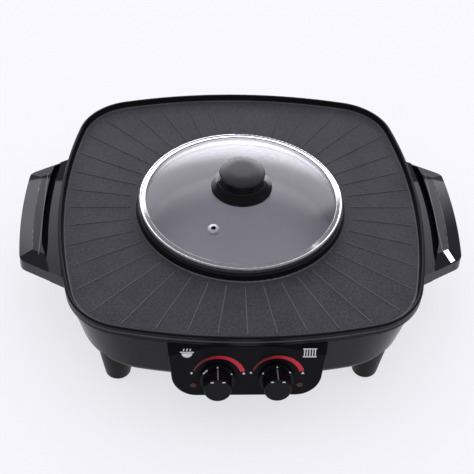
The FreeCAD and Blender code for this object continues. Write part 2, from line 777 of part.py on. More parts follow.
def knob_shaft():
    """Round shaft with a flat where the knob grips it."""
    shaft = rod(SHAFT_RADIUS, -PANEL_WALL - 9.4, 15.0)
    return shaft.cut(block(-4, 4, 1.8, 4, 6.0, 16.0))


def knob():
    """A round skirt and a fluted grip with a raised pointer, hollow over the nut."""
    body = lathe([(0, KNOB_GAP), (SKIRT_RADIUS, KNOB_GAP, 0.4), (SKIRT_RADIUS - 0.8, SKIRT_TOP, 0.8),
                  (GRIP_RADIUS + 0.3, SKIRT_TOP, 0.6), (GRIP_RADIUS - 0.6, GRIP_TOP, 1.0), (0, GRIP_TOP)])
    cuts = [rod(9.0, 0, 5.0), knob_shaft()]
    for x, y, _ in around(GRIP_RADIUS + 0.6, FLUTE_COUNT, 90 + 180.0 / FLUTE_COUNT):
        cuts.append(rod(1.1, SKIRT_TOP + 0.8, GRIP_TOP + 1, x, y))
    pointer = block(-1.0, 1.0, 5.0, GRIP_RADIUS + 0.3, SKIRT_TOP - 0.5, GRIP_TOP + 0.6)
    return body.cut(Part.makeCompound(cuts)).fuse(pointer.cut(knob_shaft())).removeSplitter()


def indicator_lens():
    return lathe([(0, -PANEL_WALL - 1), (4.2, -PANEL_WALL - 1), (4.2, -PANEL_WALL),
                  (LENS_RADIUS, -PANEL_WALL), (LENS_RADIUS, 0.9, 0.7), (0, 1.2)])


def lamp_holder():
    return lathe([(0, -PANEL_WALL - 11), (3.6, -PANEL_WALL - 11, 0.6), (3.6, -PANEL_WALL - 1),
                  (0, -PANEL_WALL - 1)])


# ---------------------------------------------------------------- handles

def handle_sweep(corners):
    """Turn a profile drawn on the +X side about the axis of that side's outline arc."""
    centre_x = HALF_WIDTH - SIDE_RADIUS
    wire = rounded_wire(corners, lambda p: V(p.x, 0, p.y))
    face = Part.Face(wire)
    face.rotate(V(centre_x, 0, 0), UP, -13)
    return face.revolve(V(centre_x, 0, 0), UP, 26)


def handle_plan(inset, low, high):
    """The plan shape of the +X handle: slanted ends, a bowed outer edge, round corners."""
    half_root = HANDLE_ROOT_HALF - 1.2 * inset
    half_tip = HANDLE_TIP_HALF - 0.8 * inset
    outer = GRIP_OUT - inset
    side = V(HALF_WIDTH - SIDE_RADIUS, 0, low)
    corners = [V(165, -half_root, low), V(outer + 6, -half_tip, low), V(outer + 6, half_tip, low),
               V(165, half_root, low)]
    prism = Part.Face(Part.makePolygon(corners + corners[:1])).extrude(UP * (high - low))
    drum = Part.makeCylinder(outer - side.x, high - low, side)
    plan = prism.common(drum)
    edges = []
    for edge in plan.Edges:
        box = edge.BoundBox
        if box.ZLength > high - low - 0.01 and box.XMin > outer - 12:
            edges.append(edge)
    return plan.makeFillet(GRIP_CORNER - inset, edges)


def hip_cut(inset):
    """What the sloped ends of the grip's top take away: one wedge at each end."""
    wedges = []
    ridge_x = RIDGE_X - RIDGE_HALF ** 2 / (2 * SIDE_RADIUS)
    for side in (-1, 1):
        ridge = V(ridge_x, side * RIDGE_HALF, GRIP_TOP_Z - inset)
        inner = V(HIP_INNER[0], side * HIP_INNER[1], GRIP_EDGE_Z - inset)
        outer = V(HIP_OUTER[0], side * HIP_OUTER[1], GRIP_EDGE_Z - inset)
        normal = (inner - ridge).cross(outer - ridge)
        if normal.z < 0:
            normal = normal * -1
        wedge = Part.makeBox(160, 160, 40, V(-80, -80, 0))
        wedge.Placement = FreeCAD.Placement(ridge, FreeCAD.Rotation(UP, normal))
        wedges.append(wedge)
    return Part.makeCompound(wedges)


def grip_roof(inner_x, inset):
    """The space under the grip's top: flat from inner_x to the ridge, then sloping down."""
    edge_z = GRIP_EDGE_Z - inset
    return handle_sweep([(inner_x, 60.0), (inner_x, GRIP_TOP_Z - inset, 0.6),
                         (RIDGE_X, GRIP_TOP_Z - inset, 6.0), (GRIP_OUT, edge_z),
                         (GRIP_OUT + 4, edge_z - 1.1), (GRIP_OUT + 4, 60.0)]).cut(hip_cut(inset))


def rounded_grip(blank):
    """The grip, still solid, with the edges of its outer wall rounded."""
    grip = blank.common(grip_roof(STRIP_OUT, 0))
    rims = []
    for edge in grip.Edges:
        box = edge.BoundBox
        top = box.ZMin > GRIP_EDGE_Z - 1.5 and box.ZMax < GRIP_EDGE_Z + 0.5
        if box.XMax > GROOVE_OUT and (top or box.ZMax < HANDLE_LOW + 0.1):
            rims.append(edge)
    return grip.makeFillet(GRIP_EDGE, rims)


def handle_groove():
    """The dark groove: it follows the strip, is blunt behind and narrows to a point in front."""
    deep = handle_sweep([(STRIP_OUT, GROOVE_FLOOR), (STRIP_OUT, 110.0), (GROOVE_OUT, 110.0),
                         (GROOVE_OUT, GROOVE_FLOOR)])
    taper = [V(*TAPER_START, 0), V(GRIP_OUT, TAPER_START[1], 0), V(GRIP_OUT, TAPER_END[1], 0),
             V(*TAPER_END, 0)]
    web = Part.Face(Part.makePolygon(taper + taper[:1])).extrude(UP * 120)
    return deep.common(handle_plan(GROOVE_WALL, HANDLE_LOW, 110.0)).cut(web)


def handle(outside):
    """The handle on +X, seated against the bowl."""
    blank = handle_plan(0, HANDLE_LOW, 100.0)
    strip = handle_sweep([(170.0, 60.0), (170.0, STRIP_TOP), (STRIP_OUT + 1, STRIP_TOP),
                          (STRIP_OUT + 1, 60.0)])
    inner = HANDLE_WALL
    hollow = handle_plan(inner, HANDLE_LOW - 1, 100.0).common(grip_roof(GROOVE_OUT + inner, inner))
    body = join([blank.common(strip), rounded_grip(blank)])
    body = body.cut(handle_groove()).cut(hollow).cut(outside)
    bores = [rod_x(M4_SHANK, 170.0, 192.0, y, HANDLE_SCREW_Z)
             for y in (-HANDLE_SCREW_Y, HANDLE_SCREW_Y)]
    return body.cut(Part.makeCompound(bores))


def handle_screws():
    screws = []
    for side in (-1, 1):
        for y in (-HANDLE_SCREW_Y, HANDLE_SCREW_Y):
            bolt = screw(M4_SHANK, M4_HEAD, M4_HEAD_THICK, 17.0)
            bolt.rotate(V(0, 0, 0), V(0, 1, 0), side * 90)
            bolt.translate(V(side * 174.0, y, HANDLE_SCREW_Z))
            screws.append(bolt)
    return Part.makeCompound(screws)


# ---------------------------------------------------------------- power inlet

def power_inlet():
    """Three-pin appliance socket with a flat flange."""
    back = INLET_FACE - 17.0
    face = INLET_FACE + INLET_FLANGE_THICK
    body = block(-13.5, 13.5, back, INLET_FACE, INLET_Z - 9.8, INLET_Z + 9.8)
    flange = block(-25, 25, INLET_FACE, face, INLET_Z - 12, INLET_Z + 12)
    wires = rounded_wire([(-12, -8, 0.6), (12, -8, 0.6), (12, 3.5, 0.6), (7.5, 8, 0.6),
                          (-7.5, 8, 0.6), (-12, 3.5, 0.6)], lambda p: V(p.x, back + 3, INLET_Z + p.y))
    cavity = Part.Face(wires).extrude(V(0, face - back, 0))
    holes = [rod_y(M3_SHANK + 0.2, INLET_FACE - 1, face + 1, x, z) for x, z in inlet_places()]
    return join([body, flange]).cut(Part.makeCompound([cavity, inlet_pins()] + holes))


def inlet_pins():
    pins = []
    for x, z in ((-7.0, -2.0), (0.0, 2.0), (7.0, -2.0)):
        pins.append(block(x - 1.0, x + 1.0, INLET_FACE - 25, INLET_FACE,
                          INLET_Z + z - 2.0, INLET_Z + z + 2.0))
    return Part.makeCompound(pins)


def inlet_screws():
    screws = []
    for x, z in inlet_places():
        bolt = screw(M3_SHANK, M3_HEAD, 1.8, 8.0)
        bolt.rotate(V(0, 0, 0), V(1, 0, 0), 90)
        bolt.translate(V(x, INLET_FACE + INLET_FLANGE_THICK, z))
        screws.append(bolt)
    return Part.makeCompound(screws)


# ---------------------------------------------------------------- all nodes

def front_nodes():
    """What sits on the panel, made once and placed left and right."""
    placed = {}
    for name, side in (("left", -1), ("right", 1)):
        placed["thermostat_" + name] = on_panel(thermostat(), side * KNOB_X, KNOB_Z)
        placed["thermostat_nut_" + name] = on_panel(thermostat_nut(), side * KNOB_X, KNOB_Z)
        placed["knob_shaft_" + name] = on_panel(knob_shaft(), side * KNOB_X, KNOB_Z)
        placed["knob_" + name] = on_panel(knob(), side * KNOB_X, KNOB_Z)
        placed["indicator_lens_" + name] = on_panel(indicator_lens(), side * LAMP_X, LAMP_Z)
        placed["lamp_holder_" + name] = on_panel(lamp_holder(), side * LAMP_X, LAMP_Z)
    return placed


def foot_nodes(outside):
    placed = {}
    for y_name, sy in (("front", -1), ("rear", 1)):
        for x_name, sx in (("left", -1), ("right", 1)):
            where = y_name + "_" + x_name
            placed["foot_" + where] = foot(sx * FOOT_X, sy * FOOT_Y, outside)
            placed["foot_pad_" + where] = foot_pad(sx * FOOT_X, sy * FOOT_Y)
    return placed


def all_nodes():
    outside = bowl_volume(0)
    right_handle = handle(outside)
    nodes = {
        "grill_plate": grill_plate(),
        "lid_glass": lid_glass(),
        "lid_rim": lid_rim(),
        "lid_vent_eyelet": lid_vent_eyelet(),
        "lid_knob_base": lid_knob_base(),
        "lid_knob_cap": lid_knob_cap(),
        "lid_knob_seal": lid_knob_seal(),
        "lid_knob_washer": lid_knob_washer(),
        "lid_knob_screw": lid_knob_screw(),
        "housing": housing(),
        "bottom_cover": bottom_cover(),
        "cover_screws": cover_screws(),
        "plate_screws": plate_screws(),
        "foot_screws": foot_screws(),
        "heat_shield": heat_shield(),
        "grill_heater": grill_heater(),
        "pot_heater": pot_heater(),
        "heater_clamps": heater_clamps(),
        "clamp_screws": clamp_screws(),
        "overheat_cutout": overheat_cutout(),
        "cutout_bracket": cutout_bracket(),
        "cutout_screws": cutout_screws(),
        "terminal_block": terminal_block(),
        "control_panel": control_panel(),
        "handle_right": right_handle,
        "handle_left": mirrored(right_handle),
        "handle_screws": handle_screws(),
        "power_inlet": power_inlet(),
        "inlet_pins": inlet_pins(),
        "inlet_screws": inlet_screws(),
    }
    nodes.update(front_nodes())
    nodes.update(foot_nodes(outside))
    return nodes


def main():
    os.makedirs("parts", exist_ok=True)
    nodes = all_nodes()
    front = nodes["knob_left"].optimalBoundingBox().YMin
    rear = nodes["inlet_screws"].optimalBoundingBox().YMax
    centring = V(0, -(front + rear) / 2, 0)
    print(f"front {front:.3f}, rear {rear:.3f}, all moved by {centring.y:.3f} along Y")
    for name, shape in sorted(nodes.items()):
        shape.translate(centring)
        box = shape.BoundBox
        state = "ok" if shape.isValid() else "INVALID"
        print(f"{name:26s} {state} solids {len(shape.Solids):2d} volume {shape.Volume:10.1f}"
              f"  z {box.ZMin:6.1f} to {box.ZMax:6.1f}")
        shape.exportStep("parts/" + name + ".step")


main()
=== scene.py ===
# %% [markdown]
# # A hot pot with a grill plate round it
#
# The appliance is a table cooker. One square aluminium casting holds a round well for soup and
# a flat pan for grilling. It sits in a glossy moulded bowl on four feet. A glass lid drops onto
# the well, two knobs on the front panel set the heat, and a handle on each side carries it.
#
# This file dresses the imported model. Each step first says what the piece or finish is on the
# real object, how it could be made in Blender, and why this way was chosen.
#
# The first step loads the frame: every piece of the model, in metres, at its place.

# %% Load the frame
import math

import bpy
from mathutils import Matrix, Vector
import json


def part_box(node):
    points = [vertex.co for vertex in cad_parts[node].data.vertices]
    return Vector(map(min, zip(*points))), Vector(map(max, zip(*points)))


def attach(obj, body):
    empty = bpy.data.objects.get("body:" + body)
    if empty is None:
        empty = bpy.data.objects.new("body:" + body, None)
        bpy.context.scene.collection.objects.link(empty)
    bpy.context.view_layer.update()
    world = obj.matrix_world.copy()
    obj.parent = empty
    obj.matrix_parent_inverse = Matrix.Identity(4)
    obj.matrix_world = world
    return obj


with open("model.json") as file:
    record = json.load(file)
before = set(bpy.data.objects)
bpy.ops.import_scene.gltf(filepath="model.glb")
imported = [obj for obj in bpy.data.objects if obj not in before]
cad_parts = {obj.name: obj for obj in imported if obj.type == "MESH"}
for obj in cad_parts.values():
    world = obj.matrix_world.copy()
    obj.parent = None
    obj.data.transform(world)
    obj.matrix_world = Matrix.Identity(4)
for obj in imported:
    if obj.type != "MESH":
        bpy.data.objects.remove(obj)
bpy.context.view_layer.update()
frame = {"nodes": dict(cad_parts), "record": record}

# %% [markdown]
# ## Measures
#
# The maker's drawing of such an object is in millimetres and Blender works in metres, so one
# named factor joins them. The well's axis is the middle of the lid's rim, read from the frame,
# and all that is round on this object is measured from it.

# %% Measures
MM = 0.001


def middle(node):
    """The middle of a piece's box, as the frame has it."""
    low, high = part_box(node)
    return (low + high) / 2


WELL = Vector((middle("lid_rim").x, middle("lid_rim").y, 0.0))
PLATE_TOP = 110.0 * MM
GRILL_FLOOR = 104.0 * MM
print("well's axis at", [round(value, 5) for value in WELL])

# %% [markdown]
# ## The camera
#
# A product photographer stands a long lens well back and looks down at about 45 degrees, so
# that lines which are parallel stay nearly parallel. The camera could be aimed with a Track To
# constraint, but three turns are easier to read: first the tilt down from the horizon, then
# the swing round the object, and a small roll about the view's own axis.

# %% Camera
VIEW_HEIGHT = math.radians(43.53)
VIEW_SWING = math.radians(-4.01)
VIEW_ROLL = math.radians(2.763)
VIEW_DISTANCE = 1.2290
AIM_RIGHT = 0.0038
AIM_UP = 0.0349
FRAME_PIXELS = 474
FOCAL_PIXELS = 1200

camera = bpy.data.objects.new("camera", bpy.data.cameras.new("camera"))
bpy.context.scene.collection.objects.link(camera)
bpy.context.scene.camera = camera
camera.data.lens = camera.data.sensor_width * FOCAL_PIXELS / FRAME_PIXELS

turn = Matrix.Rotation(VIEW_SWING, 4, "Z") @ Matrix.Rotation(math.pi / 2 - VIEW_HEIGHT, 4, "X")
turn = turn @ Matrix.Rotation(VIEW_ROLL, 4, "Z")
aim = WELL + Vector((0, 0, PLATE_TOP))
offset = turn @ Vector((AIM_RIGHT, AIM_UP, -VIEW_DISTANCE))
camera.matrix_world = Matrix.Translation(aim - offset) @ turn
print("lens", round(camera.data.lens, 1), "mm, camera at", [round(v, 3) for v in aim - offset])

# %% [markdown]
# ## Shader maths
#
# A finish is worked out from where a point lies, by sums that Blender draws as Math nodes. A
# chain of such nodes is hard to read, so one small class wraps a socket and lets Python's own
# signs add the nodes: `1 - mask` makes a Subtract node, `a * b` a Multiply node.

# %% Shader maths
class Value:
    """A socket that changes over the surface, with Python's signs for its maths."""

    def __init__(self, recipe, socket):
        self.recipe = recipe
        self.socket = socket

    def maths(self, operation, *operands):
        return self.recipe.node("ShaderNodeMath", {"operation": operation}, dict(enumerate(operands)))

    def __add__(self, other):
        return self.maths("ADD", self, other)

    def __sub__(self, other):
        return self.maths("SUBTRACT", self, other)

    def __rsub__(self, other):
        return self.maths("SUBTRACT", other, self)

    def __mul__(self, other):
        return self.maths("MULTIPLY", self, other)

    def __pow__(self, other):
        return self.maths("POWER", self, other)

    def __abs__(self):
        return self.maths("ABSOLUTE", self)

    __radd__ = __add__
    __rmul__ = __mul__

    def least(self, other):
        return self.maths("MINIMUM", self, other)

    def sine(self):
        return self.maths("SINE", self)

    def eased(self, low, high):
        """0 below low, 1 above high, and a soft step between them."""
        return self.recipe.node("ShaderNodeMapRange", {"interpolation_type": "SMOOTHSTEP"},
                                {"Value": self, "From Min": low, "From Max": high})

    def above(self, limit, soft):
        """1 above the limit, with a step that reaches `soft` to each side of it."""
        return self.eased(limit - soft, limit + soft)

    def below(self, limit, soft):
        """1 below the limit, with a step that reaches `soft` to each side of it."""
        return 1 - self.above(limit, soft)


# %% [markdown]
# ## Recipes and finishes
#
# A `Recipe` is a tree of nodes: a material's or the sky's. Its `node` makes every one of them.
# A `Finish` is one material: constants go straight onto its shader's sockets, and what changes
# over the surface is linked by `feed`.

# %% Recipes
# A Mix node has one set of sockets for each kind of data. These are the colours'.
MIX_FACTOR = 0
MIX_FIRST = 6
MIX_SECOND = 7
MIX_RESULT = 2


class Recipe:
    """A tree of shader nodes, and the few kinds of node that this object needs."""

    def __init__(self, tree):
        self.nodes = tree.nodes
        self.links = tree.links

    def node(self, kind, settings, inputs, output=0):
        made = self.nodes.new(kind)
        for key, value in settings.items():
            setattr(made, key, value)
        for key, value in inputs.items():
            if isinstance(value, Value):
                self.links.new(value.socket, made.inputs[key])
            else:
                made.inputs[key].default_value = value
        return Value(self, made.outputs[output])

    def split(self, vector):
        apart = self.node("ShaderNodeSeparateXYZ", {}, {"Vector": vector}).socket.node
        return [Value(self, socket) for socket in apart.outputs]

    def blend(self, mask, first, second):
        """The first colour where the mask is 0, the second where it is 1."""
        inputs = {MIX_FACTOR: mask, MIX_FIRST: first, MIX_SECOND: second}
        for key in (MIX_FIRST, MIX_SECOND):
            if isinstance(inputs[key], tuple):
                inputs[key] = (*inputs[key], 1.0)
        return self.node("ShaderNodeMix", {"data_type": "RGBA"}, inputs, MIX_RESULT)

    def rays(self, *names):
        """1 on rays of these kinds, 0 on all others."""
        total = self.node("ShaderNodeLightPath", {}, {}, names[0])
        for name in names[1:]:
            total = total + self.node("ShaderNodeLightPath", {}, {}, name)
        return total.least(1.0)


# %% Finishes
class Finish(Recipe):
    """One material: a Principled shader with its constants, and the nodes that feed it."""

    def __init__(self, name, **constants):
        self.material = bpy.data.materials.new(name)
        self.material.use_nodes = True
        super().__init__(self.material.node_tree)
        self.shader = self.nodes["Principled BSDF"]
        for words, value in constants.items():
            socket = self.shader.inputs[words.replace("_", " ").title().replace("Ior", "IOR")]
            socket.default_value = (*value, 1.0) if isinstance(value, tuple) else value

    def place(self, about=(0.0, 0.0, 0.0)):
        """The point's place on the object, measured from `about`."""
        here = self.node("ShaderNodeTexCoord", {}, {}, "Object")
        return self.node("ShaderNodeVectorMath", {"operation": "SUBTRACT"}, {0: here, 1: about})

    def noise(self, place, size, detail):
        """Soft noise whose blobs are about `size` metres across."""
        inputs = {"Vector": place, "Scale": 1 / size, "Detail": detail}
        return self.node("ShaderNodeTexNoise", {}, inputs)

    def relief(self, height, depth):
        """Bump from a height between 0 and 1 that stands `depth` metres tall."""
        inputs = {"Height": height, "Distance": depth, "Strength": 1.0}
        self.feed("Normal", self.node("ShaderNodeBump", {}, inputs))

    def feed(self, socket, value):
        self.links.new(value.socket, self.shader.inputs[socket])

    def give_way(self, share, other):
        """Let another shader take the place of this one, by the share that is given."""
        own = Value(self, self.shader.outputs[0])
        both = self.node("ShaderNodeMixShader", {}, {0: share, 1: own, 2: other})
        self.links.new(both.socket, self.nodes["Material Output"].inputs["Surface"])


# %% [markdown]
# ## Floor
#
# The object stands on a white sweep. The floor could be pure light, but then no shadow would
# show, so it is matt paint with a white glow mixed in. The glow is for the camera, mirrors and
# glass only, so it lights nothing. Both are a little cool, as the paper of such a sweep is.

# %% Floor
FLOOR_SIZE = 6.0
FLOOR_WHITE = (0.96, 0.95, 0.99)
GLOW_WHITE = (0.975, 0.965, 1.0, 1.0)
FLOOR_GLOW = 0.70

bpy.ops.object.select_all(action="DESELECT")
bpy.ops.mesh.primitive_plane_add(size=FLOOR_SIZE)
floor = bpy.context.object
floor.name = "floor"
paint = Finish("floor_paint", base_color=FLOOR_WHITE, roughness=0.9, specular_ior_level=0.0)
glow = paint.node("ShaderNodeEmission", {}, {"Color": GLOW_WHITE, "Strength": 1.0})
looked_at = paint.rays("Is Camera Ray", "Is Glossy Ray", "Is Transmission Ray")
paint.give_way(looked_at * FLOOR_GLOW, glow)
floor.data.materials.append(paint.material)
print("floor", FLOOR_SIZE, "m wide")

# %% [markdown]
# ## Daylight
#
# Black gloss has almost no colour of its own: it shows what it mirrors. So the studio matters
# as much as the finish. The sky is white to the camera and a dim grey in mirrors. Behind the
# object hangs a broad bright sheet, which the flat tops mirror, and low down it has a brighter
# strip, which the lid's far slope catches as a crescent. Lamps could make both, but the sky's
# own shader draws them with softer edges: the direction it is asked for says how bright it is
# there. What lights the object is a plain sky, brightest overhead, with about a third of the
# sheet's light, so the shadow stays close under the object.

# %% Daylight
SKY_LIGHT = 0.90
SKY_LOW = 0.25
SKY_RISE = 1.50
SKY_TINT = (0.94, 0.93, 1.0)
MIRRORED_SIDES = 0.28
SHEET_AS_LAMP = 0.35
SHEET_EXTRA = 2.30
SHEET_SPREAD = 0.70
SHEET_EDGE = (-0.060, 0.040)
SHEET_TOP = (0.60, 0.77)
STRIP_EXTRA = 3.40
STRIP_TOP = (0.30, 0.46)

sky = bpy.data.worlds.new("daylight")
bpy.context.scene.world = sky
sky.use_nodes = True
heavens = Recipe(sky.node_tree)
background = heavens.nodes["Background"]

across, away, upward = heavens.split(heavens.node("ShaderNodeTexCoord", {}, {}, "Generated"))
sheet_seen = 1 - (abs(across) - away * SHEET_SPREAD).eased(*SHEET_EDGE)
sheet = (1 - upward.eased(*SHEET_TOP)) * SHEET_EXTRA
strip_low = (1 - upward.eased(*STRIP_TOP)) * STRIP_EXTRA
glowing = sheet_seen * (sheet + strip_low)
camera_ray = heavens.rays("Is Camera Ray")
mirrored = heavens.rays("Is Glossy Ray", "Is Transmission Ray")
plain = SKY_LIGHT * (SKY_LOW + SKY_RISE * upward ** 2)
level = plain + mirrored * (MIRRORED_SIDES - plain)
shown = SHEET_AS_LAMP + (1 - SHEET_AS_LAMP) * mirrored
brightness = camera_ray + (1 - camera_ray) * (level + shown * glowing)
heavens.links.new(brightness.socket, background.inputs["Strength"])
tint = heavens.blend(camera_ray, SKY_TINT, (1.0, 1.0, 1.0))
heavens.links.new(tint.socket, background.inputs["Color"])
print(len(heavens.nodes), "nodes draw the sky")

# %% [markdown]
# ## The key lamp
#
# A gloss looks wet when something small and very bright shows in it. Here it is one narrow
# window, seen as a sharp white patch in the sloping near end of the right handle. Its place
# isn't guessed: a mirror sends the view's line out again at the same angle, so the window
# stands where that line leads. Only mirrors see it. The light on the object is the sky's.

# %% Key lamp
HIP_PLACE = WELL + Vector((0.2074, -0.0626, 0.0965))
HIP_REACH = 12 * MM
HIP_UP = 0.9
WINDOW_LONG = Vector((0.60, -0.80, 0.03))
WINDOW_SIZE = (0.011, 0.0345)
WINDOW_DISTANCE = 1.6
WINDOW_POWER = 0.06

near_hip = [face for face in frame["nodes"]["handle_right"].data.polygons
            if (face.center - HIP_PLACE).length < HIP_REACH and face.normal.z > HIP_UP]
hip_normal = max(near_hip, key=lambda face: face.area).normal.copy()
print("the hip faces", [round(v, 4) for v in hip_normal])

to_lens = (camera.matrix_world.translation - HIP_PLACE).normalized()
to_lamp = 2 * to_lens.dot(hip_normal) * hip_normal - to_lens
wide = WINDOW_LONG.cross(to_lamp).normalized()
facing = Matrix((wide, to_lamp.cross(wide), to_lamp)).transposed().to_4x4()
facing.translation = HIP_PLACE + to_lamp * WINDOW_DISTANCE
window = bpy.data.objects.new("key_window", bpy.data.lights.new("key_window", "AREA"))
bpy.context.scene.collection.objects.link(window)
window.matrix_world = facing
window.data.shape = "RECTANGLE"
window.data.size, window.data.size_y = WINDOW_SIZE
window.data.energy = WINDOW_POWER
window.visible_diffuse = False
window.visible_transmission = False
print("window at", [round(v, 2) for v in facing.translation])

# %% [markdown]
# ## The coated grill plate
# The pan's floor has a fine pebbled non-stick coat: matt, dark grey, a little uneven. The lip
# is bare of pebbles and nearly black, the collar shines, and the well's inside is a smooth
# lighter grey, so that the cook sees the soup. It is one casting, so one material tells the
# zones apart, by height and by distance from the well's axis. The crests of the ribs carry a
# painted highlight: they are painted paler, most of all at the front, where they catch the
# light.

# %% Grill plate zones
PAN_DEPTH = (0.7 * MM, 1.2 * MM)
INSIDE_EDGE = (98.8 * MM, 99.6 * MM)
INSIDE_LOW = (54 * MM, 55 * MM)
COLLAR_EDGE = (110 * MM, 113 * MM)
RIB_RISE = (0.10 * MM, 0.40 * MM)
HIGHLIGHT_REACH = (40 * MM, 120 * MM)
HIGHLIGHT_LEAST = 0.40

coating = Finish("nonstick_coating", specular_ior_level=0.12, coat_roughness=0.16)
here = coating.place(about=tuple(WELL))
sideways, backwards, height = coating.split(here)
radius = (sideways ** 2 + backwards ** 2) ** 0.5
pan = 1 - abs(height - GRILL_FLOOR).eased(*PAN_DEPTH)
inside = (1 - radius.eased(*INSIDE_EDGE)) * height.eased(*INSIDE_LOW)
collar = (1 - radius.eased(*COLLAR_EDGE)) * (1 - pan) * (1 - inside)
crest = pan * (height - GRILL_FLOOR).eased(*RIB_RISE)
# Painted highlight: the ribs' crests are painted paler, most of all towards the front.
crest_highlight = crest * (HIGHLIGHT_LEAST + (1 - HIGHLIGHT_LEAST) * (0 - backwards).eased(*HIGHLIGHT_REACH))
print(len(coating.nodes), "nodes tell the plate's zones apart")

# %% Grill plate finish
PEBBLE_DARK = (0.034, 0.033, 0.039)
PEBBLE_LIGHT = (0.060, 0.059, 0.067)
# The pale grey of the crests is a painted highlight.
CREST_HIGHLIGHT_GREY = (0.125, 0.124, 0.135)
LIP_BLACK = (0.004, 0.004, 0.005)
INSIDE_GREY = (0.375, 0.37, 0.390)
PEBBLE_SIZE = 2.6 * MM
PEBBLE_DEPTH = 0.45 * MM
GRAIN_SIZE = 0.9 * MM
CLOUD_SIZE = 30 * MM
LIP_ROUGHNESS = 0.34
PAN_ROUGHER = 0.20
COLLAR_COAT = 0.6

pebbles = coating.noise(here, PEBBLE_SIZE, 2.0)
grain = coating.noise(here, GRAIN_SIZE, 2.0)
cloud = coating.noise(here, CLOUD_SIZE, 2.0)
tone = (pebbles * 0.5 + grain * 0.3 + cloud * 0.2).eased(0.36, 0.64)
pebbled = coating.blend(crest_highlight, coating.blend(tone, PEBBLE_DARK, PEBBLE_LIGHT), CREST_HIGHLIGHT_GREY)
smooth = coating.blend(inside, LIP_BLACK, INSIDE_GREY)
coating.feed("Base Color", coating.blend(pan, smooth, pebbled))
coating.feed("Roughness", LIP_ROUGHNESS + pan * PAN_ROUGHER)
coating.feed("Coat Weight", collar * COLLAR_COAT)
coating.relief(pan * (pebbles * 0.65 + grain * 0.35), PEBBLE_DEPTH)
print(len(coating.nodes), "nodes in the plate's whole finish")

# %% [markdown]
# ## Glossy shell
#
# Bowl, handles and feet are moulded from the same black plastic. Nearly all that shows is
# reflection, so the base colour is close to nothing. A moulded shell is never optically flat:
# very shallow ripples bend the reflections, and a faint haze of handling makes the gloss
# uneven. The bowl's side has a soft gloss and the feet are duller, as they aren't polished.

# %% Shell finishes
HAZE_SIZE = 35 * MM
HAZE = 0.08


def moulded(name, colour, roughness, ripple, depth, **constants):
    """A black moulded plastic with a handled gloss and shallow ripples."""
    made = Finish(name, base_color=colour, **constants)
    spot = made.place()
    made.feed("Roughness", roughness + made.noise(spot, HAZE_SIZE, 3.0) * HAZE)
    made.relief(made.noise(spot, ripple, 1.0), depth)
    return made


bowl_gloss = moulded("bowl_gloss", (0.0105, 0.0100, 0.0140), 0.12, 14 * MM, 0.03 * MM,
                     specular_ior_level=0.05)
foot_black = moulded("foot_black", (0.004, 0.004, 0.005), 0.35, 5 * MM, 0.03 * MM,
                     specular_ior_level=0.10)
print("shell finishes:", bowl_gloss.material.name, foot_black.material.name)

# %% [markdown]
# ## Handles
#
# The handles are the glossiest pieces: a hand polishes them every day. A clear coat over a
# dull base makes the gloss, and its weight can change over the surface. It is full on the tops
# and near ends, weak on the far ends, and gone in the groove between the grip and the plate,
# where no hand reaches and the mould's dull face stays. The grip's edge beside the groove
# carries a thin pale line that is a painted highlight, where the edge catches the light. The
# groove's two ends slant, so how far it runs is measured along the handle plus a part of the
# way out.

# %% Handle finish
# Each limit is a place, and how far its soft step reaches to each side of it.
GROOVE_INNER = (195.3 * MM, 0.2 * MM)
GROOVE_OUTER = (201.6 * MM, 0.2 * MM)
GROOVE_TOP = (93.6 * MM, 0.3 * MM)
GROOVE_END = (213.4 * MM, 0.4 * MM)
EDGE_INNER = (201.15 * MM, 0.15 * MM)
EDGE_OUTER = (202.15 * MM, 0.15 * MM)
EDGE_HEIGHT = (96.8 * MM, 0.2 * MM)
EDGE_END = (209.4 * MM, 4 * MM)
FAR_END = (52 * MM, 2 * MM)
END_SLANT = 0.7
HANDLE_BLACK = (0.009, 0.0086, 0.0135)
# The pale grey is a painted highlight on the grip's edge.
EDGE_HIGHLIGHT_GREY = (0.11, 0.11, 0.12)
HANDLE_COAT = 0.85
COAT_LOSS = 0.85

handle_gloss = moulded("handle_gloss", HANDLE_BLACK, 0.40, 14 * MM, 0.02 * MM,
                       specular_ior_level=0.0, coat_roughness=0.0)
sideways, backwards, height = handle_gloss.split(handle_gloss.place(about=tuple(WELL)))
outward = abs(sideways)
along = abs(backwards) + END_SLANT * outward
groove = outward.above(*GROOVE_INNER) * outward.below(*GROOVE_OUTER)
groove = groove * height.below(*GROOVE_TOP) * along.below(*GROOVE_END)
far_end = backwards.above(*FAR_END)
handle_gloss.feed("Coat Weight", HANDLE_COAT * (1 - groove) * (1 - COAT_LOSS * far_end))
# Painted highlight: a thin pale line along the grip's edge beside the groove.
edge_highlight = outward.above(*EDGE_INNER) * outward.below(*EDGE_OUTER)
edge_highlight = edge_highlight * height.above(*EDGE_HEIGHT) * along.below(*EDGE_END)
handle_gloss.feed("Base Color", handle_gloss.blend(edge_highlight, HANDLE_BLACK, EDGE_HIGHLIGHT_GREY))
print(len(handle_gloss.nodes), "nodes in the handles' finish")

# %% [markdown]
# ## Satin plastic
#
# The panel and the inlet come from a mould with a spark-etched face: a fine even grain that
# spreads the reflection. The knobs have the same grain, a little finer, and the lid's cap, the
# switches and the rubber have it coarser. Only the bell under the cap is polished smooth. Bump
# at about half a millimetre does it, with roughness for what is finer still.

# %% Satin finishes
WEAR_SIZE = 12 * MM
WEAR = 0.08


def grained(name, colour, roughness, grain_size, depth, specular):
    """A moulded plastic with an even etched grain."""
    made = Finish(name, base_color=colour, specular_ior_level=specular)
    spot = made.place()
    made.feed("Roughness", roughness + made.noise(spot, WEAR_SIZE, 3.0) * WEAR)
    made.relief(made.noise(spot, grain_size, 2.0), depth)
    return made


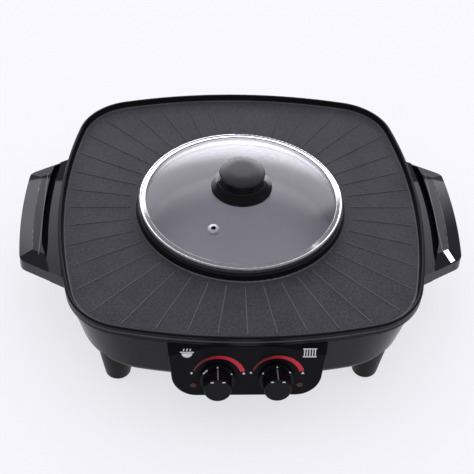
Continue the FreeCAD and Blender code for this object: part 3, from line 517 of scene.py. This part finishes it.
satin = grained("satin_black", (0.0045, 0.0045, 0.006), 0.30, 0.5 * MM, 0.015 * MM, 0.08)
knob_satin = grained("knob_black", (0.004, 0.004, 0.0055), 0.22, 0.4 * MM, 0.010 * MM, 0.14)
phenolic = grained("matt_phenolic", (0.022, 0.022, 0.025), 0.42, 0.6 * MM, 0.020 * MM, 0.5)
bell_gloss = grained("polished_phenolic", (0.0030, 0.0030, 0.0040), 0.14, 4.0 * MM, 0.010 * MM, 0.22)
resin = grained("switch_resin", (0.35, 0.34, 0.32), 0.45, 0.8 * MM, 0.020 * MM, 0.4)
rubber = grained("soft_rubber", (0.022, 0.022, 0.022), 0.70, 0.7 * MM, 0.040 * MM, 0.3)
GRAINED = (satin, knob_satin, phenolic, bell_gloss, resin, rubber)
print("grained:", [made.material.name for made in GRAINED])

# %% [markdown]
# ## Lid glass
#
# Tempered glass is a sheet with two faces, and each mirrors a little of the room. The solid
# has its real thickness, so clear glass on it mirrors twice by itself. Its index is set below
# the 1.5 of real glass, because that keeps the mirror faint and the well behind it plain to see.
# A slight cool tint is the glass's own colour. Light that bends through glass is slow to find
# its way, so the rays that only ask how bright it is below pass straight through.

# %% Glass finish
GLASS_TINT = (0.93, 0.93, 0.95)
GLASS_INDEX = 1.36

glass = Finish("lid_glass", base_color=GLASS_TINT, roughness=0.0, transmission_weight=1.0,
               ior=GLASS_INDEX)
clear = glass.node("ShaderNodeBsdfTransparent", {}, {"Color": (*GLASS_TINT, 1.0)})
asking = glass.rays("Is Shadow Ray", "Is Diffuse Ray")
glass.give_way(asking, clear)
print(len(glass.nodes), "nodes in the glass")

# %% [markdown]
# ## Metals
#
# The lid's rim is rolled from polished stainless strip. Sheet, tube, screws and pins are
# plainer. A metal's colour is the colour of its reflection, and no two places of a rolled or
# plated face reflect quite alike, so each metal drifts between two colours and two degrees of
# polish, in blobs of the size that its own making leaves.

# %% Metal finishes
def metal(name, dark, light, roughness, spread, blob, depth):
    """A metal whose colour and roughness drift between two values in blobs."""
    made = Finish(name, metallic=1.0)
    patches = made.noise(made.place(), blob, 4.0)
    made.feed("Base Color", made.blend(patches.eased(0.3, 0.7), dark, light))
    made.feed("Roughness", roughness + patches * spread)
    made.relief(patches, depth)
    return made


rim_steel = metal("rim_steel", (0.66, 0.66, 0.68), (0.78, 0.78, 0.80), 0.08, 0.10, 3 * MM, 0.010 * MM)
sheet_steel = metal("aluminised_sheet", (0.50, 0.50, 0.51), (0.66, 0.66, 0.67), 0.30, 0.15, 4 * MM,
                    0.015 * MM)
tube = metal("heated_tube", (0.20, 0.17, 0.16), (0.36, 0.34, 0.35), 0.35, 0.20, 6 * MM, 0.020 * MM)
plated = metal("zinc_plate", (0.52, 0.52, 0.53), (0.66, 0.66, 0.64), 0.22, 0.18, 1.5 * MM, 0.010 * MM)
brass = metal("brass", (0.66, 0.50, 0.24), (0.80, 0.64, 0.34), 0.18, 0.15, 2 * MM, 0.008 * MM)
METALS = (rim_steel, sheet_steel, tube, plated, brass)
print("metals:", [made.material.name for made in METALS])

# %% [markdown]
# ## The eyelet
#
# The steam vent is a small steel eyelet, blasted bright, and its bore is painted black: painted
# shade, the dark that a deep hole shows. A black disc could close the hole, but the solid has
# its real bore, so its colour alone does it: it follows the distance from the eyelet's own middle.

# %% Eyelet finish
BORE = 2.3 * MM
BORE_EDGE = 0.3 * MM
BORE_SHADE_BLACK = (0.02, 0.02, 0.02)
BLAST_SIZE = 0.6 * MM
BLAST_DEPTH = 0.010 * MM

eyelet_steel = Finish("eyelet_steel", metallic=1.0)
around_bore = eyelet_steel.place(about=tuple(middle("lid_vent_eyelet")))
sideways, backwards, _ = eyelet_steel.split(around_bore)
painted_bore_shade = 1 - ((sideways ** 2 + backwards ** 2) ** 0.5).eased(BORE, BORE + BORE_EDGE)
blasted = eyelet_steel.noise(around_bore, BLAST_SIZE, 3.0)
steel = eyelet_steel.blend(blasted.eased(0.3, 0.7), (0.82, 0.82, 0.84), (0.95, 0.95, 0.96))
# Painted shade: the bore is painted black, as the dark of a deep hole.
eyelet_steel.feed("Base Color", eyelet_steel.blend(painted_bore_shade, steel, BORE_SHADE_BLACK))
eyelet_steel.feed("Roughness", 0.28 + blasted * 0.10)
eyelet_steel.relief(blasted, BLAST_DEPTH)
print("eyelet's middle at", [round(v, 4) for v in middle("lid_vent_eyelet")])

# %% [markdown]
# ## Ceramic and lamps
#
# The terminal block is glazed steatite, white with faint specks. Each lamp looks out through a
# dark red cap. Its inside has fine rings, which spread the lamp's light. The rings are the
# sine of the distance from the cap's middle, and both caps lie at the same distance from the
# middle of the panel, so one material with a mirrored place serves both.

# %% Ceramic finish
GLAZE_WHITE = (0.84, 0.82, 0.78)
SPECK_BROWN = (0.62, 0.58, 0.52)
GLAZE_SPECKS = 0.8 * MM

ceramic = Finish("steatite", base_color=GLAZE_WHITE, roughness=0.25)
specks = ceramic.noise(ceramic.place(), GLAZE_SPECKS, 3.0).eased(0.62, 0.70)
ceramic.feed("Base Color", ceramic.blend(specks, GLAZE_WHITE, SPECK_BROWN))
print(len(ceramic.nodes), "nodes in the glaze")

# %% Lamp finish
RING_STEP = 0.7 * MM
LENS_DARK = (0.022, 0.001, 0.002)
LENS_RED = (0.060, 0.003, 0.006)

lens_red = Finish("lamp_red", roughness=0.22, specular_ior_level=0.4)
lens_at = middle("indicator_lens_right")
sideways, _, upward = lens_red.split(lens_red.place(about=(WELL.x, 0.0, lens_at.z)))
from_middle = ((abs(sideways) - (lens_at.x - WELL.x)) ** 2 + upward ** 2) ** 0.5
rings = (from_middle * (2 * math.pi / RING_STEP)).sine()
lens_red.feed("Base Color", lens_red.blend(rings.eased(-1.0, 1.0), LENS_DARK, LENS_RED))
print("lamps", round((lens_at.x - WELL.x) / MM, 1), "mm from the panel's middle")

# %% [markdown]
# ## Dressing the solids
#
# The record names a material slot for every solid. A table from slot to finish dresses them
# all. Four kinds of piece differ from their slot: the bell under the lid's cap is polished and
# the cap matt, the eyelet is blasted bright, the handles are the glossiest, and the feet dull.

# %% Dress the solids
FINISH_OF = {
    "nonstick_plate": coating, "glossy_shell": bowl_gloss, "satin_panel": satin,
    "knob_black": knob_satin, "lid_knob_black": phenolic, "lid_glass": glass,
    "rim_steel": rim_steel, "sheet_steel": sheet_steel, "tube_steel": tube, "screw_steel": plated,
    "brass": brass, "ceramic": ceramic, "switch_body": resin, "seal_rubber": rubber,
    "foot_rubber": rubber, "lamp_red": lens_red}


def dress(finish, name):
    held = frame["nodes"][name].data.materials
    held.clear()
    held.append(finish.material)


for row in frame["record"]["subparts"]:
    dress(FINISH_OF[row["material_slot"]], row["node"])
dress(bell_gloss, "lid_knob_base")
dress(eyelet_steel, "lid_vent_eyelet")
for side in ("left", "right"):
    dress(handle_gloss, "handle_" + side)
    for end in ("front", "rear"):
        dress(foot_black, "foot_%s_%s" % (end, side))

# %% [markdown]
# ## Printing on the panel
#
# What is printed on the panel is ink, about a tenth of a millimetre thick, and its foot is sunk
# a little so that no gap shows. It is modelled lying flat at the origin, where across, up and
# out are X, Y and Z, then carried to the panel's leaning face. The knobs' joints say where that
# face is: each joint's point lies on it and its axis stands out of it.

# %% Where the panel's face is
INK = 0.12 * MM
SUNK = 0.05 * MM

joints = {joint["name"]: joint for joint in frame["record"]["behaviour"]["joints"]}
RIGHT = Vector((1.0, 0.0, 0.0))
OUT = Vector(joints["knob_left_turn"]["axis"])
UP = OUT.cross(RIGHT)
DIALS = {side: Vector(joints["knob_%s_turn" % side]["pos_m"]) for side in ("left", "right")}


def on_face(point, lift=0.0):
    """The place whose X is across, Y up the panel and Z out of it, at a point."""
    place = Matrix((RIGHT, UP, OUT)).transposed().to_4x4()
    place.translation = point + OUT * (lift - SUNK)
    return place


print("dials at", {side: [round(v, 4) for v in point] for side, point in DIALS.items()})

# %% [markdown]
# A few steps repeat for every printed shape: deselect all before a primitive is added, raise
# the flat shape to the ink's thickness, and carry a copy to its place. They are named once.

# %% Steps for printed shapes
def start():
    """Leave edit mode and select nothing, so that the next operator acts on its piece alone."""
    if bpy.context.mode != "OBJECT":
        bpy.ops.object.mode_set(mode="OBJECT")
    bpy.ops.object.select_all(action="DESELECT")


def raise_ink(piece):
    """Give a flat shape the ink's thickness, with what is sunk in the face."""
    start()
    piece.select_set(True)
    bpy.context.view_layer.objects.active = piece
    bpy.ops.object.mode_set(mode="EDIT")
    bpy.ops.mesh.select_all(action="SELECT")
    bpy.ops.mesh.normals_make_consistent(inside=False)
    bpy.ops.mesh.extrude_region_move(TRANSFORM_OT_translate={"value": (0.0, 0.0, INK + SUNK)})
    bpy.ops.mesh.select_all(action="SELECT")
    bpy.ops.mesh.remove_doubles(threshold=0.01 * MM)
    bpy.ops.mesh.normals_make_consistent(inside=False)
    bpy.ops.object.mode_set(mode="OBJECT")


def carry(pattern, name, place, finish, body="base"):
    """Put a copy of a flat shape, with its own mesh, at its place on the object."""
    copy = bpy.data.objects.new(name, pattern.data.copy())
    bpy.context.scene.collection.objects.link(copy)
    copy.matrix_world = place
    start()
    copy.select_set(True)
    bpy.context.view_layer.objects.active = copy
    bpy.ops.object.transform_apply(location=True, rotation=True, scale=True)
    copy.data.materials.clear()
    copy.data.materials.append(finish.material)
    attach(copy, body)


# %% [markdown]
# ## Heat arcs
#
# A red arc round each knob grows from a hair at the low end to a broad band at the high end,
# and its red warms with it. A spun strip would have one width. Two circles with their middles
# a little apart, bridged into a ring, give the taper, and two cuts leave the part that shows.

# %% Heat arc shape
ARC_INNER = 22.4 * MM
ARC_OUTER = 25.6 * MM
ARC_SHIFT = 1.5 * MM
ARC_LOW = math.radians(160.0)
ARC_HIGH = math.radians(17.0)
ARC_STEPS = 128

start()
bpy.ops.mesh.primitive_circle_add(vertices=ARC_STEPS, radius=ARC_INNER)
bpy.ops.object.mode_set(mode="EDIT")
bpy.ops.mesh.primitive_circle_add(vertices=ARC_STEPS, radius=ARC_OUTER, location=(ARC_SHIFT, 0, 0))
bpy.ops.mesh.select_all(action="SELECT")
bpy.ops.mesh.bridge_edge_loops()
for angle, side in ((ARC_LOW, 1), (ARC_HIGH, -1)):
    bpy.ops.mesh.select_all(action="SELECT")
    cut = (-side * math.sin(angle), side * math.cos(angle), 0.0)
    bpy.ops.mesh.bisect(plane_co=(0, 0, 0), plane_no=cut, clear_outer=True)
bpy.ops.object.mode_set(mode="OBJECT")
heat_arc = bpy.context.object
raise_ink(heat_arc)
print("heat arc", [round(side / MM, 1) for side in heat_arc.dimensions], "mm")

# %% [markdown]
# The ink warms from a dull, thin red to a full one along the arc. The colour follows the
# distance to the right of the knob's middle, so each arc has its own finish, made by one
# function.

# %% Heat arc finish
WARMING = (-24 * MM, 22 * MM)
DULL_RED = (0.110, 0.010, 0.015)
FULL_RED = (0.72, 0.022, 0.045)
WORN_RED = (0.13, 0.010, 0.014)
WEAR_SPECKS = 0.8 * MM


def arc_ink(name, dial):
    """Red ink that warms from left to right about one dial, with worn specks."""
    ink = Finish(name, roughness=0.35, specular_ior_level=0.3)
    spot = ink.place(about=tuple(dial))
    warmth = ink.split(spot)[0].eased(*WARMING)
    worn = ink.noise(spot, WEAR_SPECKS, 3.0).eased(0.2, 0.45)
    ink.feed("Base Color", ink.blend(worn, WORN_RED, ink.blend(warmth, DULL_RED, FULL_RED)))
    return ink


for side, dial in DIALS.items():
    carry(heat_arc, "heat_arc_" + side, on_face(dial), arc_ink("arc_ink_" + side, dial))
bpy.data.objects.remove(heat_arc)
print("a heat arc round each of", len(DIALS), "dials")

# %% [markdown]
# ## White marks
#
# A dot where the heat is lowest and a small peak where it is highest stand at the arc's ends.
# Both start as a flat circle, one with many corners and one with three, and are raised to the
# ink's thickness. The white ink is a little thin, so the black shows through in specks.

# %% White ink and its marks
LOW_MARK_AT = (-24.0, 5.4)
HIGH_MARK_AT = (24.7, 4.6)
SPECK_SIZE = 0.5 * MM


def thin_ink(name, dark, light):
    """A printed ink, with specks where it is thin and what it lies on shows through."""
    ink = Finish(name, roughness=0.4, specular_ior_level=0.3)
    covers = ink.noise(ink.place(), SPECK_SIZE, 2.0).eased(0.3, 0.45)
    ink.feed("Base Color", ink.blend(covers, dark, light))
    return ink


def flat_shape(corners, radius):
    """A flat shape with so many corners, raised to the ink's thickness."""
    start()
    bpy.ops.mesh.primitive_circle_add(vertices=corners, radius=radius, fill_type="NGON")
    made = bpy.context.object
    raise_ink(made)
    return made


def shifted(place, across_mm, up_mm, turned=0.0):
    """A place moved across and up the face, and turned on it."""
    moved = Matrix.Translation((across_mm * MM, up_mm * MM, 0.0))
    return place @ moved @ Matrix.Rotation(turned, 4, "Z")


white_ink = thin_ink("white_ink", (0.35, 0.35, 0.37), (0.80, 0.80, 0.82))
dot = flat_shape(24, 1.1 * MM)
peak = flat_shape(3, 1.9 * MM)
for side, dial in DIALS.items():
    carry(dot, "low_mark_" + side, shifted(on_face(dial), *LOW_MARK_AT), white_ink)
    carry(peak, "high_mark_" + side, shifted(on_face(dial), *HIGH_MARK_AT), white_ink)
print("dot", [round(side / MM, 2) for side in dot.dimensions], "mm")

# %% [markdown]
# ## Two small pictures
#
# Each knob heats one part of the object. A generic pictogram says which: a soup bowl on the
# left for the well, a row of bars on the right for the grill. The bowl is a disc cut in half,
# with a rim line across it and three wisps of steam above. The bars are one thin strip, copied,
# and the rim line serves again as the frame above and below them.

# %% Strips and half discs
CORNER_SHARE = 0.3
DISC_CORNERS = 48


def strip(length, width):
    """A flat strip along X, raised to the ink's thickness."""
    start()
    bpy.ops.mesh.primitive_plane_add(size=1.0)
    bpy.ops.object.mode_set(mode="EDIT")
    bpy.ops.transform.resize(value=(length, width, 1.0), center_override=(0, 0, 0))
    bpy.ops.mesh.bevel(offset=width * CORNER_SHARE, segments=3, affect="VERTICES")
    bpy.ops.object.mode_set(mode="OBJECT")
    made = bpy.context.object
    raise_ink(made)
    return made


def half_disc(radius):
    """The lower half of a flat disc, raised to the ink's thickness."""
    start()
    bpy.ops.mesh.primitive_circle_add(vertices=DISC_CORNERS, radius=radius, fill_type="NGON")
    bpy.ops.object.mode_set(mode="EDIT")
    bpy.ops.mesh.bisect(plane_co=(0, 0, 0), plane_no=(0, 1, 0), clear_outer=True)
    bpy.ops.object.mode_set(mode="OBJECT")
    made = bpy.context.object
    raise_ink(made)
    return made


# %% Bowl picture
BOWL_AT = (-28.4, 28.4)
BOWL_RADIUS = 5.0 * MM
BOWL_LIFT = 0.4
RIM_LIFT = 1.6
STEAM_LIFT = 4.4
STEAM_LINES = 3
STEAM_STEP = 3.0
STEAM_LEAN = math.radians(70)


def spaced(count, step):
    """So many places in a row, with its middle at 0."""
    return [step * (number - (count - 1) / 2) for number in range(count)]


picture_low = shifted(on_face(DIALS["left"]), *BOWL_AT)
bowl_half = half_disc(BOWL_RADIUS)
rim_line = strip(13.0 * MM, 1.1 * MM)
steam_line = strip(2.6 * MM, 1.0 * MM)
carry(bowl_half, "bowl_picture", shifted(picture_low, 0.0, BOWL_LIFT), white_ink)
carry(rim_line, "bowl_rim_line", shifted(picture_low, 0.0, RIM_LIFT), white_ink)
for number, across_mm in enumerate(spaced(STEAM_LINES, STEAM_STEP)):
    spot = shifted(picture_low, across_mm, STEAM_LIFT, STEAM_LEAN)
    carry(steam_line, "steam_line_%d" % number, spot, white_ink)
print("rim line", round(rim_line.dimensions.x / MM, 1), "mm long")

# %% Grill picture
GRILL_AT = (30.0, 28.6)
GRILL_BARS = 5
GRILL_STEP = 2.5
FRAME_LIFT = 4.6

picture_high = shifted(on_face(DIALS["right"]), *GRILL_AT)
grill_bar = strip(8.4 * MM, 1.1 * MM)
for number, across_mm in enumerate(spaced(GRILL_BARS, GRILL_STEP)):
    spot = shifted(picture_high, across_mm, 0.0, math.radians(90))
    carry(grill_bar, "grill_bar_%d" % number, spot, white_ink)
for name, lift in (("grill_frame_low", -FRAME_LIFT), ("grill_frame_high", FRAME_LIFT)):
    carry(rim_line, name, shifted(picture_high, 0.0, lift), white_ink)
print(GRILL_BARS, "bars", GRILL_STEP, "mm apart")

# %% [markdown]
# ## Marks on the knobs
#
# A knob's skirt carries a few white marks and its grip a grey line at twelve o'clock, so the
# cook can see how far it is turned. They turn with the knob, so they ride on its body. The
# skirt's marks are strips and a small peak, set round the knob's axis by their angle. Each is
# turned by it too: the strips lie along the skirt's edge and the peak points outwards.

# %% Skirt marks
SKIRT_TOP = 3.8 * MM
SKIRT_MARK_RADIUS = 14.9

tick = strip(1.9 * MM, 1.2 * MM)
long_tick = strip(6.0 * MM, 1.2 * MM)
small_peak = flat_shape(3, 1.35 * MM)
TICKS = {"left": (("off", long_tick, 140), ("noon", small_peak, 90), ("high", tick, 28)),
         "right": (("off", tick, 150), ("noon", small_peak, 90), ("high", tick, 35))}
for side, dial in DIALS.items():
    skirt = on_face(dial, SKIRT_TOP)
    for name, pattern, clock in TICKS[side]:
        angle = math.radians(clock)
        spot = shifted(skirt, SKIRT_MARK_RADIUS * math.cos(angle),
                       SKIRT_MARK_RADIUS * math.sin(angle), angle - math.pi / 2)
        carry(pattern, "skirt_%s_%s" % (name, side), spot, white_ink, "knob_" + side)
print(sum(len(marks) for marks in TICKS.values()), "marks on the skirts")

# %% [markdown]
# The grey line stands on the outer side of the grip's raised pointer, from near the skirt to
# the grip's end. A thin rectangle, a quarter of it sunk in that side, is drawn out along the
# knob's axis by an extrude. Its ink is dull, so that it shows only as a faint line.

# %% Pointer line
GRIP_END = 20.2 * MM
GRIP_SIDE = 13.5 * MM
LINE_WIDTH = 1.1 * MM
LINE_THICK = 0.15 * MM
LINE_LOW = SKIRT_TOP + 1.5 * MM
LINE_HIGH = GRIP_END + 0.1 * MM

grey_ink = thin_ink("grey_ink", (0.06, 0.06, 0.07), (0.16, 0.16, 0.18))
start()
bpy.ops.mesh.primitive_plane_add(size=1.0)
bpy.ops.object.mode_set(mode="EDIT")
bpy.ops.transform.resize(value=(LINE_WIDTH, LINE_THICK, 1.0), center_override=(0, 0, 0))
bpy.ops.transform.translate(value=(0.0, GRIP_SIDE + LINE_THICK / 4, LINE_LOW))
bpy.ops.mesh.extrude_region_move(TRANSFORM_OT_translate={"value": (0, 0, LINE_HIGH - LINE_LOW)})
bpy.ops.mesh.select_all(action="SELECT")
bpy.ops.mesh.normals_make_consistent(inside=False)
bpy.ops.object.mode_set(mode="OBJECT")
pointer_line = bpy.context.object
for side, dial in DIALS.items():
    carry(pointer_line, "pointer_line_" + side, on_face(dial, SUNK), grey_ink, "knob_" + side)
print("pointer line", round((LINE_HIGH - LINE_LOW) / MM, 1), "mm long")

# %% [markdown]
# Two short white dashes stand on the grip's end, left and right of its line.

# %% Dashes on the grip's end
END_DASH_AT = (5.4, 10.4)

dash = strip(2.8 * MM, 1.2 * MM)
for side, dial in DIALS.items():
    for name, sign in (("left", -1), ("right", 1)):
        spot = shifted(on_face(dial, GRIP_END), sign * END_DASH_AT[0], END_DASH_AT[1])
        carry(dash, "end_dash_%s_%s" % (name, side), spot, white_ink, "knob_" + side)
print("thumb marks", END_DASH_AT, "mm from each knob's middle")

# %% [markdown]
# Each shape was modelled once and copied, so the patterns that the copies were made from can go.

# %% Remove the patterns
PATTERNS = (dash, dot, peak, bowl_half, rim_line, steam_line, grill_bar, tick, long_tick,
            small_peak, pointer_line)
for pattern in PATTERNS:
    bpy.data.objects.remove(pattern)
start()
print(len(PATTERNS), "patterns removed")

# %% [markdown]
# ## Colours as written
#
# The Standard view shows a colour as it is, with no film curve on it.

# %% Standard view
bpy.context.scene.view_settings.view_transform = "Standard"
print("view:", bpy.context.scene.view_settings.view_transform)

# %% [markdown]
# ## Sizes
#
# The dressed object must be as large as its solids. This cell only loads the json module; no
# box is measured or written here.

# %% Sizes
import json
